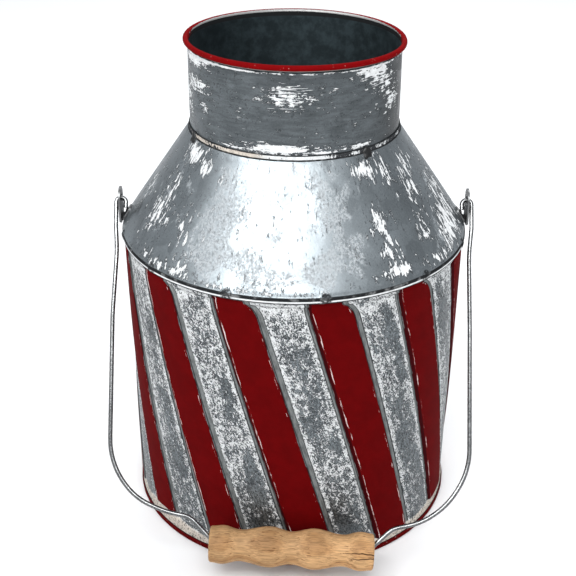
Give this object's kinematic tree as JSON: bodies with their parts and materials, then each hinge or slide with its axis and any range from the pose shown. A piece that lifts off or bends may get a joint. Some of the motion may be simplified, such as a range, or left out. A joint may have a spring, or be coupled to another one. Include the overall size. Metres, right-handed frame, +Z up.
{
  "type": "milk can",
  "caption": "Sheet-metal milk can with slanting pressed ribs, a conical shoulder, a rolled mouth, and a swinging wire bail with a turned wooden grip.",
  "frame": {"origin": "centre of the ring that the can stands on", "axes": "+Z up along the can's axis; the bail rests against the front, which faces -Y; the ears stand at -X and +X"},
  "size_m": [0.2228, 0.2342, 0.305],
  "materials": {
    "ribbed_body": "red painted ribs, whitewashed galvanised panels, worn",
    "red_paint": "worn red enamel on the rolled edge",
    "galvanised_shoulder": "galvanised with brushed whitewash",
    "galvanised_neck": "dull galvanised with worn whitewash, red rim",
    "steel_wire": "zinc plated wire",
    "solder": "dark solder",
    "ear_sheet": "galvanised sheet",
    "rivet_steel": "dull steel",
    "pine": "bare turned softwood"
  },
  "bodies": {
    "can": {"body_shell": "ribbed_body", "base_pan": "red_paint", "shoulder_cone": "galvanised_shoulder", "neck_collar": "galvanised_neck", "rim_wire": "steel_wire", "neck_solder": "solder", "ear_left": "ear_sheet", "ear_right": "ear_sheet", "ear_rivet_left": "rivet_steel", "ear_rivet_right": "rivet_steel"},
    "bail": {"bail_wire": "steel_wire"},
    "grip": {"grip": "pine"}
  },
  "joints": [
    {"name": "bail_swing", "type": "hinge", "parent": "can", "child": "bail", "pos_m": [0, 0, 0.202], "axis": [-1, 0, 0], "range_deg": [0, 294]},
    {"name": "grip_spin", "type": "hinge", "parent": "bail", "child": "grip", "pos_m": [0, -0.1154, 0.02392], "axis": [0.999, -0.0237, -0.0366], "continuous": true}
  ]
}
